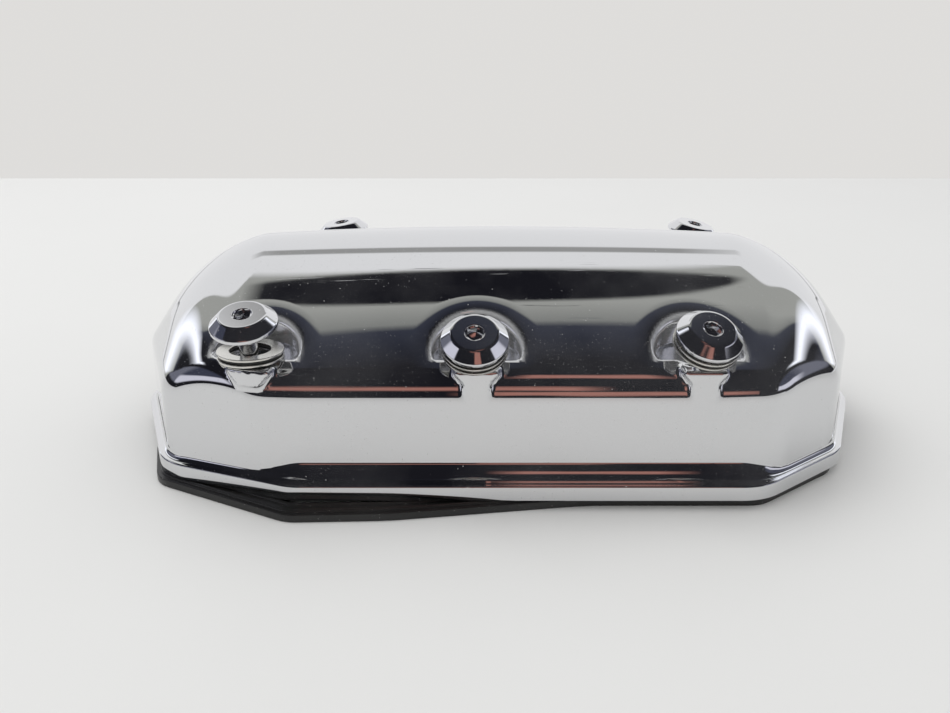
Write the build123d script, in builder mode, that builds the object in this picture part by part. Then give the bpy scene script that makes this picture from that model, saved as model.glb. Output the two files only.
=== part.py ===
from build123d import *
import math
import os

os.makedirs("parts", exist_ok=True)

# Sizes in millimetres. The cover stands on the table plane, z = 0, and its bolts point down through it.
# X runs along the cover, Y from the front row of bolts to the rear one, Z up.

# Flange outline, seen from above. Turned half a turn it falls on itself.
flange_half_depth = 79.6
flange_left_bend = 68.0
flange_right_bend = 83.0
left_corner = (113.5, flange_half_depth - 18.1)
right_corner = (115.5, flange_half_depth - 26.6)
flange_half_length = 136.3
bend_radius = 14.0
corner_radius = 14.0
nose_radius = 26.0
flange_thickness = 5.3

# Walls, measured in from the flange's edge
front_ledge = 7.3
side_ledge = 3.0
cove_height = 5.2
cove_sag = 1.2
cove_left_end = 74.0
cove_right_end = 82.0
wall_bend_radius = 14.0
wall_thickness = 3.6
foot_lap = 0.002

# Roof: over each wall it turns in over a rounded shoulder and climbs to the crown
crown_height = 68.8
front_eave = 37.6
front_pitch = 28.4
front_shoulder = 12.0
front_crown_radius = 50.0
corner_eave = 39.5
corner_pitch = 45.0
corner_shoulder = 14.0
end_eave = 26.0
end_pitch = 56.9
end_shoulder = 16.0
end_top = 65.0
end_top_pitch = 6.1
end_crown_radius = 36.0

# Bolt pockets
bolt_first = -80.0
bolt_pitch = 71.5
bolts_in_row = 3
bolt_row = flange_half_depth - 19.6
seat_height = 41.6
pocket_radius = 15.0
boss_radius = 11.9
pillar_top = 14.0
pillar_foot = 11.0
pillar_drop = 1.2
pillar_depth = 14.0
pillar_inset = 0.15
seat_thickness = 4.6
bolt_hole = 12.0

# Bolts
head_diameter = 21.5
head_face = 15.0
head_cone = 3.2
head_rim = 1.2
head_collar = 14.0
collar_height = 1.0
shank_diameter = 6.0
rim_over_seat = 15.5
tip_chamfer = 0.8
socket_flats = 5.0
socket_depth = 3.2

# Isolator: two washers with a rubber ring between them
washer_outer = 21.5
washer_bore = 13.2
washer_thickness = 0.9
rubber_outer = 20.2
rubber_thickness = 1.0

# Gasket, a loose rubber ring pushed out at its front left
gasket_base = 2.7
gasket_ridge = 0.6
gasket_width = 8.2
ridge_width = 1.3
ridge_inset = 1.5
gasket_inset = 3.0
gasket_corner_radius = 12.0
gasket_bow_radius = 90.0
gasket_push = 8.0
gasket_side_push = 2.0
gasket_bow_start = -36.0
gasket_bow_push = 6.8
gasket_bow_end = 27.0

# Places that follow from the sizes
gasket_height = gasket_base + gasket_ridge
gasket_front = flange_half_depth + gasket_push
centre_shift = (gasket_front - flange_half_depth) / 2
deck = Plane((0, centre_shift, gasket_height))
seat_level = gasket_height + seat_height
rim_to_tip = seat_level + rim_over_seat


def rotated(points):
    """The points and their half-turn copies, as one closed outline."""
    return [*points, *((-x, -y) for x, y in points)]


flange_outline = rotated(
    [
        (-flange_left_bend, -flange_half_depth),
        (flange_right_bend, -flange_half_depth),
        (right_corner[0], -right_corner[1]),
        (flange_half_length, 0),
        left_corner,
    ]
)


def roof_over(start, end, ledge, profile, inset):
    """The space under one wall and its stretch of roof, drawn as a profile square to the wall."""
    eave, pitch, shoulder, top, top_pitch, crown = profile
    along = Vector(end[0] - start[0], end[1] - start[1]).normalized()
    inwards = Vector(-along.Y, along.X)
    foot = Vector(*start) + inwards * (ledge - foot_lap) + Vector(0, centre_shift, gasket_height)
    section = Plane(foot, x_dir=inwards, z_dir=inwards.cross(Vector(0, 0, 1)))
    slope = math.tan(math.radians(pitch))
    top_slope = math.tan(math.radians(top_pitch))
    knee_run = (top - eave) / slope
    knee = (knee_run, eave + knee_run * slope)
    far = 2 * flange_half_length
    far_height = knee[1] + (far - knee_run) * top_slope
    with BuildPart() as space:
        with BuildSketch(section) as outline:
            with BuildLine():
                Polyline((0, -far), (0, eave), knee, (far, far_height), (far, -far), close=True)
            make_face()
            fillet(outline.vertices().sort_by_distance((0, eave))[0], shoulder)
            fillet(outline.vertices().sort_by_distance(knee)[0], crown)
            offset(amount=-inset)
        extrude(amount=far, both=True)
    return space.part


front_profile = (front_eave, front_pitch, front_shoulder, crown_height, 0, front_crown_radius)
corner_profile = (corner_eave, corner_pitch, corner_shoulder, crown_height, corner_pitch - 1, 1)
end_profile = (end_eave, end_pitch, end_shoulder, end_top, end_top_pitch, end_crown_radius)
wall_profiles = [front_profile, corner_profile, end_profile, end_profile, corner_profile] * 2
wall_ledges = [front_ledge, side_ledge, side_ledge, side_ledge, side_ledge] * 2


def dome(inset):
    """The cover's outer form over the flange face, or with an inset the room inside it."""
    corners = [*flange_outline, flange_outline[0]]
    with BuildPart() as form:
        add(wall_sketch(inset).sketch)
        extrude(amount=crown_height + 1)
        for start, end, ledge, profile in zip(corners, corners[1:], wall_ledges, wall_profiles):
            add(roof_over(start, end, ledge, profile, inset), mode=Mode.INTERSECT)
    return form.part


def bolt_places():
    """Each bolt's name and the place of its hole on the deck, the rear row the front one turned round."""
    for index, side in enumerate(("left", "middle", "right")):
        x = bolt_first + index * bolt_pitch
        yield f"front_{side}", (x, -bolt_row)
    for index, side in enumerate(("left", "middle", "right")):
        x = -(bolt_first + (bolts_in_row - 1 - index) * bolt_pitch)
        yield f"rear_{side}", (x, bolt_row)


bolt_holes = dict(bolt_places())
hole_points = list(bolt_holes.values())


def at_height(z):
    """The deck's plane raised by a height."""
    return deck.offset(z)


with BuildSketch(deck) as flange_sketch:
    with BuildLine():
        Polyline(*flange_outline, close=True)
    make_face()
    bends = [v for v in flange_sketch.vertices() if abs(abs(v.Y) - flange_half_depth) < 0.01]
    fillet(bends, bend_radius)
    corners = flange_sketch.vertices().filter_by_position(Axis.X, 100, 120)
    corners += flange_sketch.vertices().filter_by_position(Axis.X, -120, -100)
    fillet(corners, corner_radius)
    noses = flange_sketch.vertices().sort_by(Axis.X)
    fillet([noses[0], noses[-1]], nose_radius)


def wall_sketch(inset):
    """The outline of the walls, the given amount inside their outer face."""
    with BuildSketch(deck) as walls:
        add(flange_sketch.sketch_local)
        offset(amount=-side_ledge - inset, kind=Kind.INTERSECTION)
        depth = 2 * (flange_half_depth - front_ledge - inset)
        Rectangle(3 * flange_half_length, depth, mode=Mode.INTERSECT)
        bends = [v for v in walls.vertices() if abs(abs(v.Y) - depth / 2) < 0.01]
        fillet(bends, wall_bend_radius - inset)
    return walls


# The coves that carry the front and rear walls out to the flange's edge
with BuildPart() as coves:
    with BuildSketch(Plane((-cove_left_end, centre_shift, gasket_height), x_dir=(0, 1, 0), z_dir=(1, 0, 0))):
        with BuildLine():
            low = (-flange_half_depth, flange_thickness)
            high = (front_ledge - flange_half_depth, flange_thickness + cove_height)
            middle = ((low[0] + high[0]) / 2 + cove_sag * 0.6, (low[1] + high[1]) / 2 - cove_sag * 0.8)
            ThreePointArc(low, middle, high)
            Polyline(high, (high[0] + 1, high[1]), (high[0] + 1, 0), (low[0], 0), low)
        make_face()
    extrude(amount=cove_left_end + cove_right_end)
    with BuildSketch(deck):
        add(flange_sketch.sketch_local)
    extrude(amount=flange_thickness + cove_height, mode=Mode.INTERSECT)
    add(coves.part.rotate(Axis(deck.origin, (0, 0, 1)), 180))

# The room under the roof, without the pocket wells that hang into it
with BuildPart() as hollow:
    add(dome(wall_thickness))
    with BuildSketch(at_height(seat_height - seat_thickness)):
        with Locations(*hole_points):
            Circle(pocket_radius + wall_thickness)
    extrude(amount=crown_height, mode=Mode.SUBTRACT)

# Round seats, and under them the pillars that stand out of the shoulders, kept within the walls
with BuildPart() as pillars:
    with BuildSketch(at_height(seat_height)):
        with Locations(*hole_points):
            Circle(boss_radius)
    extrude(amount=-seat_thickness)
    for x, y in hole_points:
        outward = math.copysign(1, y)
        with BuildSketch(Plane((x, y + centre_shift, seat_level), x_dir=(-outward, 0, 0), z_dir=(0, outward, 0))):
            with BuildLine():
                Polyline(
                    (-pillar_top / 2, -pillar_drop),
                    (pillar_top / 2, -pillar_drop),
                    (pillar_foot / 2, -pillar_depth),
                    (-pillar_foot / 2, -pillar_depth),
                    close=True,
                )
            make_face()
        extrude(amount=flange_half_depth - bolt_row)
    add(wall_sketch(pillar_inset).sketch)
    extrude(amount=seat_height, mode=Mode.INTERSECT)

with BuildPart() as cover_shell:
    add(dome(0))
    add(pillars.part)
    # pockets
    with BuildSketch(at_height(seat_height)):
        with Locations(*hole_points):
            Circle(pocket_radius)
    extrude(amount=crown_height, mode=Mode.SUBTRACT)
    # flange and its coves
    add(flange_sketch.sketch)
    extrude(amount=flange_thickness)
    add(coves.part)
    add(hollow.part, mode=Mode.SUBTRACT)
    with BuildSketch(at_height(seat_height)):
        with Locations(*hole_points):
            Circle(bolt_hole / 2)
    extrude(amount=-2 * seat_thickness, mode=Mode.SUBTRACT)

cover_shell.part.label = "cover_shell"
export_step(cover_shell.part, "parts/cover_shell.step")

# Gasket outline: seated a little inside the flange's edge, but pushed out at the front left
seated_half_depth = flange_half_depth - gasket_inset
seated_half_length = flange_half_length - gasket_inset
gasket_outline = [
    (-left_corner[0] - gasket_side_push, -left_corner[1]),
    (-flange_left_bend, -flange_half_depth - gasket_push),
    (gasket_bow_start, -flange_half_depth - gasket_bow_push),
    (gasket_bow_end, -seated_half_depth),
    (flange_right_bend, -seated_half_depth),
    (right_corner[0] - gasket_inset, -right_corner[1]),
    (seated_half_length, 0),
    (left_corner[0] - gasket_inset, left_corner[1]),
    (flange_left_bend, seated_half_depth),
    (-flange_right_bend, seated_half_depth),
    (-right_corner[0] + gasket_inset, right_corner[1]),
    (-seated_half_length, 0),
]
table = deck.offset(-gasket_height)


def gasket_ring(outside, width):
    """A ring inside the gasket's outer edge."""
    with BuildSketch(table) as ring:
        with BuildLine():
            Polyline(*gasket_outline, close=True)
        make_face()
        bows = ring.vertices().filter_by_position(Axis.X, gasket_bow_start - 1, gasket_bow_end + 1)
        fillet(bows, gasket_bow_radius)
        tips = [ring.vertices().sort_by(Axis.X)[0], ring.vertices().sort_by(Axis.X)[-1]]
        fillet(tips, nose_radius)
        bends = [v for v in ring.vertices() if any(math.dist((v.X, v.Y), p) < 0.01 for p in gasket_outline)]
        fillet(bends, gasket_corner_radius)
        offset(amount=-outside)
        offset(amount=-width, mode=Mode.SUBTRACT)
    return ring.sketch


with BuildPart() as perimeter_gasket:
    add(gasket_ring(0, gasket_width))
    extrude(amount=gasket_base)
    for outside in (ridge_inset, gasket_width - ridge_inset - ridge_width):
        add(gasket_ring(outside, ridge_width))
        extrude(amount=gasket_height)
perimeter_gasket.part.label = "perimeter_gasket"
export_step(perimeter_gasket.part, "parts/perimeter_gasket.step")


def leaning_axis(hole, lean_forward, lean_right, shift):
    """The line of a bolt that stands on its tip and leans in its hole: its tip and its direction."""
    slope_x = math.tan(math.radians(lean_right))
    slope_y = -math.tan(math.radians(lean_forward))
    direction = Vector(slope_x, slope_y, 1).normalized()
    tip_height = shank_diameter / 2 * math.sqrt(1 - direction.Z**2)
    crossing = Vector(hole[0] + shift[0], hole[1] + shift[1] + centre_shift, seat_level)
    tip = crossing - direction * ((seat_level - tip_height) / direction.Z)
    return tip, direction


def square_plane(point, direction):
    """The plane square to a bolt's axis at a point."""
    return Plane(point, x_dir=Vector(1, 0, 0), z_dir=direction)


def turned_part(base, profile):
    """A turned solid from the half profile of radii and heights over a base plane."""
    section = Plane(base.origin, x_dir=base.x_dir, z_dir=-base.y_dir)
    with BuildPart() as turned:
        with BuildSketch(section):
            with BuildLine():
                Polyline(*profile, close=True)
            make_face()
        revolve(axis=Axis(base.origin, base.z_dir))
    return turned.part


def ring_profile(outer, bore, low, thickness):
    """The half profile of a flat ring."""
    return [(bore / 2, low), (outer / 2, low), (outer / 2, low + thickness), (bore / 2, low + thickness)]


bolt_leans = {
    "front_left": (18.0, -2.0, (-0.5, -2.3)),
    "front_middle": (30.5, 0.0, (-0.6, -2.4)),
    "front_right": (28.5, 8.5, (0.3, -0.4)),
    "rear_left": (1.0, -9.0, (0.0, -2.0)),
    "rear_middle": (-30.5, 0.0, (0.6, 2.4)),
    "rear_right": (4.0, 12.0, (0.8, -1.8)),
}
rings_on_seat = {
    "front_left": (-1.0, -0.1),
    "rear_left": (0.0, -1.0),
    "rear_right": (0.9, -1.0),
}
under_head = rim_to_tip - head_rim - collar_height
stack_height = 2 * washer_thickness + rubber_thickness
bolt_profile = [
    (0, 0),
    (shank_diameter / 2 - tip_chamfer, 0),
    (shank_diameter / 2, tip_chamfer),
    (shank_diameter / 2, under_head),
    (head_collar / 2, under_head),
    (head_collar / 2, under_head + collar_height),
    (head_diameter / 2, under_head + collar_height),
    (head_diameter / 2, rim_to_tip),
    (head_face / 2, rim_to_tip + head_cone),
    (0, rim_to_tip + head_cone),
]

for place, hole in bolt_holes.items():
    tip, direction = leaning_axis(hole, *bolt_leans[place])
    foot = square_plane(tip, direction)
    with BuildPart() as bolt:
        add(turned_part(foot, bolt_profile))
        with BuildSketch(foot.offset(rim_to_tip + head_cone)):
            RegularPolygon(socket_flats / 2, 6, major_radius=False)
        extrude(amount=-socket_depth, mode=Mode.SUBTRACT)
    bolt.part.label = f"{place}_bolt"
    export_step(bolt.part, f"parts/{place}_bolt.step")

    if place in rings_on_seat:
        shift = rings_on_seat[place]
        stack = deck.offset(seat_height).shift_origin(
            Vector(hole[0] + shift[0], hole[1] + shift[1] + centre_shift, seat_level)
        )
    else:
        stack = foot.offset(under_head - stack_height)
    layers = {
        "lower_washer": (washer_outer, 0, washer_thickness),
        "rubber_ring": (rubber_outer, washer_thickness, rubber_thickness),
        "upper_washer": (washer_outer, washer_thickness + rubber_thickness, washer_thickness),
    }
    for layer, (outer, low, thickness) in layers.items():
        piece = turned_part(stack, ring_profile(outer, washer_bore, low, thickness))
        piece.label = f"{place}_{layer}"
        export_step(piece, f"parts/{place}_{layer}.step")
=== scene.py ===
import bmesh
import bpy
import math
import numpy as np
import openvdb
from mathutils import Matrix, Vector


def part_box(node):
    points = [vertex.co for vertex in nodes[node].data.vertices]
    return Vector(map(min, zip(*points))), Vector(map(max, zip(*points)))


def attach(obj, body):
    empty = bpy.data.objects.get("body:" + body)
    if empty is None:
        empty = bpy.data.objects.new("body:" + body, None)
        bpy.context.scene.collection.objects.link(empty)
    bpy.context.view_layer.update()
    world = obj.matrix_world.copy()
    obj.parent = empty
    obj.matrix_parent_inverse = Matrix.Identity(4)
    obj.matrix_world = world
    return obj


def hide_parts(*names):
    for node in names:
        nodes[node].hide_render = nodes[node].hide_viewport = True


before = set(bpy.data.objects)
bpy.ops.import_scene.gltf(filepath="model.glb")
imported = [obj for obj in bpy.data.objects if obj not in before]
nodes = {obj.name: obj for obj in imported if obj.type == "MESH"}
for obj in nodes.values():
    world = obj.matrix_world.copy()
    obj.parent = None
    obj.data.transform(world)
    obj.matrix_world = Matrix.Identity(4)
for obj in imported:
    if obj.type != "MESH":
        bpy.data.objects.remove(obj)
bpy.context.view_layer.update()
scene = bpy.context.scene
places = ("front_left", "front_middle", "front_right", "rear_left", "rear_middle", "rear_right")
mm = 0.001

# The cover's own frame: x and y from the middle of its flange, z from the flange's underside
shellLow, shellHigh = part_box("cover_shell")
deckPoint = Vector(((shellLow.x + shellHigh.x) / 2, (shellLow.y + shellHigh.y) / 2, shellLow.z))

coverForm = {   # millimetres and degrees
    "halfDepth": 79.6,
    "leftBend": 68.0,
    "rightBend": 83.0,
    "leftCorner": (113.5, 61.5),
    "rightCorner": (115.5, 53.0),
    "halfLength": 136.3,
    "frontLedge": 7.3,
    "sideLedge": 3.0,
    "frontEave": 37.6,
    "frontPitch": 28.4,
    "slopeBulge": 620.0,        # radius of the long slopes' bulge, about the middle of the slope
    "bulgeMiddle": 38.0,
    "bulgeEven": 22.0,
    "bulgeRun": (-42, 60),
    "cornerEave": 50.0,
    "cornerPitch": 45.0,
    "endEave": 32.0,
    "endPitch": 56.9,
    "endTop": 66.0,
    "endTopPitch": 6.1,
    "bendRadius": 20.0,
    "cornerRadius": 20.0,
    "noseRadius": 30.0,
    "crownRadius": 57.0,
    "archRadius": 1500.0,
    "archHalfWidth": 70.0,
    "hipRadius": 48.0,
    "cornerHipRadius": 30.0,
    "ridgeRadius": 60.0,
    "endCrownRadius": 60.0,
    "frontShoulder": 12.0,
    "sideShoulder": 9.0,
    "shoulderFrom": 60.0,
    "shoulderRun": 40.0,
    "boltFirst": -80.0,
    "boltPitch": 71.5,
    "boltRow": 60.0,
    "seat": 41.6,
    "pocketRadius": 14.2,
    "pocketFloorRound": 1.0,
    "rimRound": 3.3,
    "rimDip": 0.34,
    "rimReach": 7.5,
    "rimFade": 4.0,
    "rimRise": 6.0,
    "pocketNear": 40.0,
    "floorEdgeRound": 0.6,
    "bossRadius": 7.6,
    "bossDepth": 2.6,
    "bracketTop": 16.0,
    "bracketTaper": 0.85,
    "bracketDepth": 5.5,
    "bracketRound": 0.8,
    "outerHoles": 75.0,
    "pillarTop": 8.6,
    "pillarFoot": 8.0,
    "pillarDrop": 0.35,
    "pillarDepth": 14.0,
    "pillarRound": 1.0,
    "pillarBlend": 1.8,
    "wall": 3.6,
    "seatThickness": 4.6,
    "wellRound": 2.0,
    "roomEdgeRound": 3.0,
    "holeRadius": 6.0,
    "flangeThickness": 5.3,
    "flangeEdge": 0.7,
    "frontCove": 5.2,
    "sideCove": 2.6,
    "coveSag": 1.2,
    "skinCell": 0.98,
    "roomCell": 2.6,
}


def plane(p, normal, offset):
    n = np.asarray(normal, float)
    n = n / np.linalg.norm(n)
    return p @ n - offset, np.broadcast_to(n, p.shape)


# Two solids cut by each other, with their common edge rounded; each one is its distance and gradient
def roundMax(a, b, radius):
    u = a[0] + radius
    v = b[0] + radius
    c = np.clip(np.einsum("ij,ij->i", a[1], b[1]), -0.98, 0.999999)
    s2 = 1 - c * c
    inCorner = (u > v * c) & (v > u * c) & (u + v > 0)
    dist = np.sqrt(np.maximum(u * u + v * v - 2 * u * v * c, 1e-12) / s2)
    aFirst = u > v
    value = np.where(inCorner, dist, np.where(aFirst, u, v)) - radius
    wa = np.where(inCorner, (u - v * c) / (s2 * dist), aFirst)
    wb = np.where(inCorner, (v - u * c) / (s2 * dist), ~aFirst)
    return value, wa[:, None] * a[1] + wb[:, None] * b[1]


def flip(a):
    return -a[0], -a[1]


def roundMin(a, b, radius):
    return flip(roundMax(flip(a), flip(b), radius))


def grown(a, amount):
    return a[0] - amount, a[1]


def flangeCorners():
    c = coverForm
    half = [
        (-c["leftBend"], -c["halfDepth"]),
        (c["rightBend"], -c["halfDepth"]),
        (c["rightCorner"][0], -c["rightCorner"][1]),
        (c["halfLength"], 0.0),
        c["leftCorner"],
    ]
    return half + [(-x, -y) for x, y in half]


def flangeLines():
    points = flangeCorners()
    lines = []
    for a, b in zip(points, points[1:] + points[:1]):
        dx, dy = b[0] - a[0], b[1] - a[1]
        length = math.hypot(dx, dy)
        normal = (dy / length, -dx / length)
        lines.append((normal, normal[0] * a[0] + normal[1] * a[1]))
    return lines


def sideKind(index):
    return ("front", "corner", "end", "end", "corner")[index % 5]


def ring(fields, radii):
    out = fields[0]
    for field, radius in zip(fields[1:], radii):
        out = roundMax(out, field, radius)
    return out


def bulgedSlope(p, normal, wallAt, eave, pitch, bulge):
    t = math.radians(pitch)
    n3 = np.array((normal[0] * math.sin(t), normal[1] * math.sin(t), math.cos(t)))
    value, grad = plane(p, n3, wallAt * math.sin(t) + eave * math.cos(t))
    if not bulge:
        return value, grad
    down = np.array((normal[0] * math.cos(t), normal[1] * math.cos(t), -math.sin(t)))
    middle = wallAt * math.cos(t) - eave * math.sin(t) - coverForm["bulgeMiddle"]    # measured down the slope
    run = np.clip(p @ down - middle, *coverForm["bulgeRun"])
    grad = grad + (run / bulge)[:, None] * down
    length = np.linalg.norm(grad, axis=1)
    value = (value + (run * run - coverForm["bulgeEven"] ** 2) / (2 * bulge)) / length
    return value, grad / length[:, None]


def wallOffsets():
    for index, (normal, offset) in enumerate(flangeLines()):
        kind = sideKind(index)
        yield kind, normal, offset - coverForm["frontLedge" if kind == "front" else "sideLedge"]


def wallField(p):
    bend, corner, nose = (coverForm[k + "Radius"] for k in ("bend", "corner", "nose"))
    walls = [plane(p, (normal[0], normal[1], 0), wallAt) for _, normal, wallAt in wallOffsets()]
    return ring(walls, [bend, corner, nose, corner, bend, bend, corner, nose, corner])


def domeField(p):
    c = coverForm
    slopes, tops = [], []
    for kind, normal, wallAt in wallOffsets():
        eave, pitch = c[kind + "Eave"], c[kind + "Pitch"]
        slopes.append(bulgedSlope(p, normal, wallAt, eave, pitch, c["slopeBulge"] if kind == "front" else 0))
        if kind == "end":
            run = (c["endTop"] - eave) / math.tan(math.radians(pitch))
            tops.append(bulgedSlope(p, normal, wallAt - run, c["endTop"], c["endTopPitch"], 0))
    hip, ridge = c["hipRadius"], c["ridgeRadius"]
    wall = wallField(p)
    roof = roundMax(slopes[0], slopes[5], c["crownRadius"])
    across = np.clip(1 - (p[:, 1] / c["archHalfWidth"]) ** 2, 0, 1)
    lift = p[:, 0] ** 2 / (2 * c["archRadius"]) * across
    lean = np.zeros_like(p)
    lean[:, 0] = p[:, 0] / c["archRadius"] * across
    lean[:, 1] = -p[:, 1] / c["archHalfWidth"] ** 2 * p[:, 0] ** 2 / c["archRadius"] * (across > 0)
    lean = roof[1] + lean
    length = np.linalg.norm(lean, axis=1)
    roof = ((roof[0] + lift) / length, lean / length[:, None])
    for a, b in ((7, 2), (2, 0)):
        end = roundMax(slopes[a], slopes[a + 1], ridge)
        top = roundMax(tops[b], tops[b + 1], ridge)
        roof = roundMax(roof, roundMax(end, top, c["endCrownRadius"]), hip)
    for index in (1, 4, 6, 9):
        roof = roundMax(roof, slopes[index], c["cornerHipRadius"])
    blend = np.clip((np.abs(p[:, 0]) - c["shoulderFrom"]) / c["shoulderRun"], 0, 1)
    blend = blend * blend * (3 - 2 * blend)
    shoulder = c["frontShoulder"] + (c["sideShoulder"] - c["frontShoulder"]) * blend
    return roundMax(wall, roof, shoulder)


def boltHoles():
    c = coverForm
    front = [(c["boltFirst"] + i * c["boltPitch"], -c["boltRow"]) for i in range(3)]
    return front + [(-x, -y) for x, y in reversed(front)]


def column(p, hole, radius):
    dx, dy = p[:, 0] - hole[0], p[:, 1] - hole[1]
    r = np.maximum(np.hypot(dx, dy), 1e-6)
    return r - radius, np.stack([dx / r, dy / r, np.zeros_like(r)], 1)


# The round seat of one bolt, and under it a bracket that narrows to a pillar in the plane of the wall; the
# outermost seats end in the corner's wall and have the bracket alone
def pillarField(p, hole):
    c = coverForm
    out = math.copysign(1, hole[1])
    level = c["seat"] - c["pillarDrop"]
    wall = grown(wallField(p), -0.02)

    def tapered(halfTop, taper):
        half = halfTop - taper * level
        size = math.hypot(1, taper)
        left = plane(p, (-1, 0, -taper), (half - hole[0]) / size)
        right = plane(p, (1, 0, -taper), (half + hole[0]) / size)
        return roundMax(left, right, 0.1)

    soft, edge = c["pillarRound"], c["bracketRound"]
    seat = roundMax(column(p, hole, c["bossRadius"]), plane(p, (0, 0, 1), c["seat"] + 3), soft)
    seat = roundMax(seat, plane(p, (0, 0, -1), c["bossDepth"] - c["seat"]), 2 * soft)
    body = roundMax(tapered(c["bracketTop"] / 2, c["bracketTaper"]),
                    plane(p, (0, 0, -1), c["bracketDepth"] - level), edge)
    if abs(hole[0]) < c["outerHoles"]:
        taper = (c["pillarTop"] - c["pillarFoot"]) / 2 / c["pillarDepth"]
        body = roundMin(body, tapered(c["pillarTop"] / 2, taper), 2 * soft)
    body = roundMax(body, wall, edge)
    body = roundMax(body, plane(p, (0, -out, 0), -abs(hole[1])), soft)
    body = roundMax(body, plane(p, (0, 0, 1), level), soft)
    return roundMin(roundMax(seat, wall, edge), body, 1.5 * soft)


# The whole outer skin: the dome, sunk a little towards each pocket's rim, with pillars added and pockets cut
def skinField(p):
    c = coverForm
    value, grad = domeField(p)
    value, grad = value.copy(), grad.copy()
    for hole in boltHoles():
        near = np.hypot(p[:, 0] - hole[0], p[:, 1] - hole[1]) < c["pocketNear"]
        if not near.any():
            continue
        q = p[near]
        g = (value[near], grad[near])
        gone = np.hypot(q[:, 0] - hole[0], q[:, 1] - hole[1]) - c["pocketRadius"]
        left = np.clip(1 - np.maximum(gone, 0) / c["rimReach"], 0, 1)
        deep = c["rimDip"] * np.clip((q[:, 2] - c["seat"]) / c["rimFade"] + 1, 0, 1)
        away = column(q, hole, 0)[1]
        g = (g[0] + deep * left ** 2, g[1] - (2 * deep * left / c["rimReach"])[:, None] * away)
        g = roundMin(g, pillarField(q, hole), c["pillarBlend"])
        floor = plane(q, (0, 0, -1), -c["seat"])
        well = roundMax(column(q, hole, c["pocketRadius"]), floor, c["pocketFloorRound"])
        lift = np.clip((q[:, 2] - c["seat"]) / c["rimRise"], 0, 1)
        g = roundMax(g, flip(well), c["floorEdgeRound"] + (c["rimRound"] - c["floorEdgeRound"]) * lift)
        value[near], grad[near] = g
    return value, grad


# The hollow under the cover
def roomField(p):
    c = coverForm
    g = grown(domeField(p), -c["wall"])
    for hole in boltHoles():
        floor = plane(p, (0, 0, -1), c["seatThickness"] - c["seat"])
        well = roundMax(column(p, hole, c["pocketRadius"] + c["wall"]), floor, c["wellRound"])
        g = roundMax(g, flip(well), c["roomEdgeRound"])
    return g


# A mesh of where the field is zero: a grid near the surface, its polygons, then each corner pulled onto it
def meshOfField(field, low, high, cell, floor):
    low, high = np.array(low, float), np.array(high, float)
    block = 4
    count = (np.ceil((high - low) / cell / block).astype(int)) * block
    axes = [low[i] + cell * np.arange(count[i]) for i in range(3)]
    middles = [a.reshape(-1, block).mean(1) for a in axes]
    gx, gy, gz = np.meshgrid(*middles, indexing="ij")
    coarse = field(np.stack([gx.ravel(), gy.ravel(), gz.ravel()], 1))[0].reshape(gx.shape)
    near = np.abs(coarse) < cell * block * 1.4
    grid = np.where(coarse < 0, -3.0 * cell, 3.0 * cell).astype(np.float32)
    for axis in range(3):
        grid = np.repeat(grid, block, axis)
        near = np.repeat(near, block, axis)
    ix, iy, iz = np.nonzero(near)
    points = np.stack([axes[0][ix], axes[1][iy], axes[2][iz]], 1)
    grid[ix, iy, iz] = np.clip(field(points)[0], -3 * cell, 3 * cell)
    zs = axes[2][None, None, :]
    grid = np.maximum(grid, (floor - zs).astype(np.float32))
    vdb = openvdb.FloatGrid(3.0 * cell)
    vdb.copyFromArray(grid)
    verts, quads = vdb.convertToQuads(isovalue=0.0)
    verts = low + verts.astype(float) * cell
    upper = verts[:, 2] > floor + cell * 0.8
    for step in range(4):
        moving = verts[upper]
        value, grad = field(moving)
        size = np.maximum((grad * grad).sum(1), 0.25)
        verts[upper] = moving - np.clip(value / size, -0.6 * cell, 0.6 * cell)[:, None] * grad
    verts[~upper, 2] = np.where(verts[~upper, 2] < floor + 0.5 * cell, floor, verts[~upper, 2])
    return verts, quads


def meshObject(name, verts, faces):
    mesh = bpy.data.meshes.new(name)
    mesh.from_pydata([tuple(v) for v in verts], [], [tuple(int(i) for i in f) for f in faces])
    mesh.validate()
    obj = bpy.data.objects.new(name, mesh)
    scene.collection.objects.link(obj)
    return obj


def roundedOutline(points, radii):
    out = []
    count = len(points)
    for i, radius in enumerate(radii):
        p = np.array(points[i])
        a = np.array(points[i - 1]) - p
        b = np.array(points[(i + 1) % count]) - p
        a, b = a / np.linalg.norm(a), b / np.linalg.norm(b)
        half = math.acos(np.clip(a @ b, -1, 1)) / 2
        toward = (a + b) / np.linalg.norm(a + b)
        centre = p + toward * radius / math.sin(half)
        first = math.atan2(*(p + a * radius / math.tan(half) - centre)[::-1])
        last = math.atan2(*(p + b * radius / math.tan(half) - centre)[::-1])
        sweep = (last - first + math.pi) % (2 * math.pi) - math.pi
        for k in range(13):
            angle = first + sweep * k / 12
            normal = np.array((math.cos(angle), math.sin(angle)))
            out.append((*(centre + normal * radius), *normal))
    return out


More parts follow.
